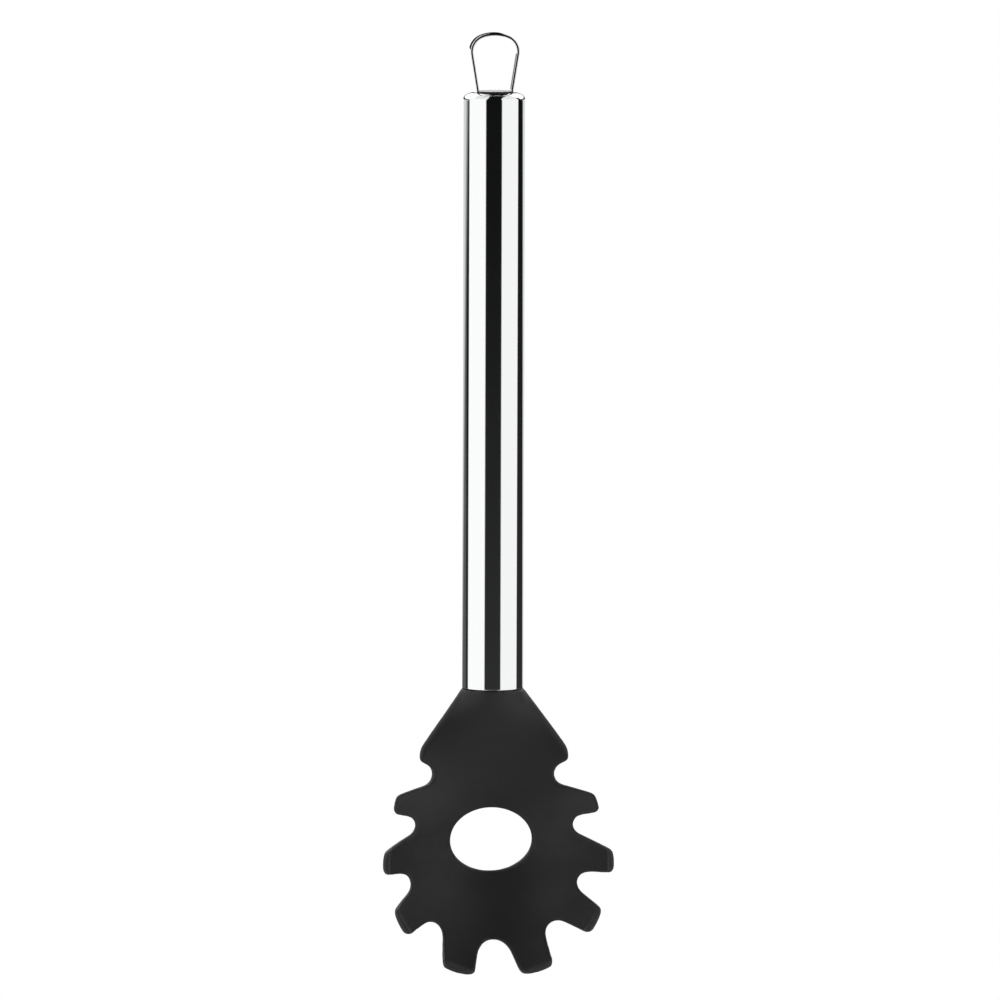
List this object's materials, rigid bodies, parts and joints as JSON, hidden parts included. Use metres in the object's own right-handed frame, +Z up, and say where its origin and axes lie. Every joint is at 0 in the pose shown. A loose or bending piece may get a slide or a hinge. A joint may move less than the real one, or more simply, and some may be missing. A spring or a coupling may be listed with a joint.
{
  "type": "pasta server",
  "caption": "Hand pasta server: polished steel tube handle with a strip hanging loop and a moulded black toothed head with an oval drain hole.",
  "frame": {"origin": "top of the hanging loop's inside, in the loop's middle, where a hook bears", "axes": "+Z up along the handle, -Y is the side the bowl is hollow on, +X to the right seen from that side"},
  "size_m": [0.075, 0.0305, 0.303],
  "materials": {
    "polished_tube": "mirror polished stainless steel",
    "polished_strip": "polished stainless strip",
    "turned_steel": "turned stainless steel",
    "black_nylon": "fine satin moulded nylon"
  },
  "bodies": {
    "root": {"handle_tube": "polished_tube", "hanging_loop": "polished_strip", "end_cap": "turned_steel", "head": "black_nylon"}
  },
  "joints": []
}
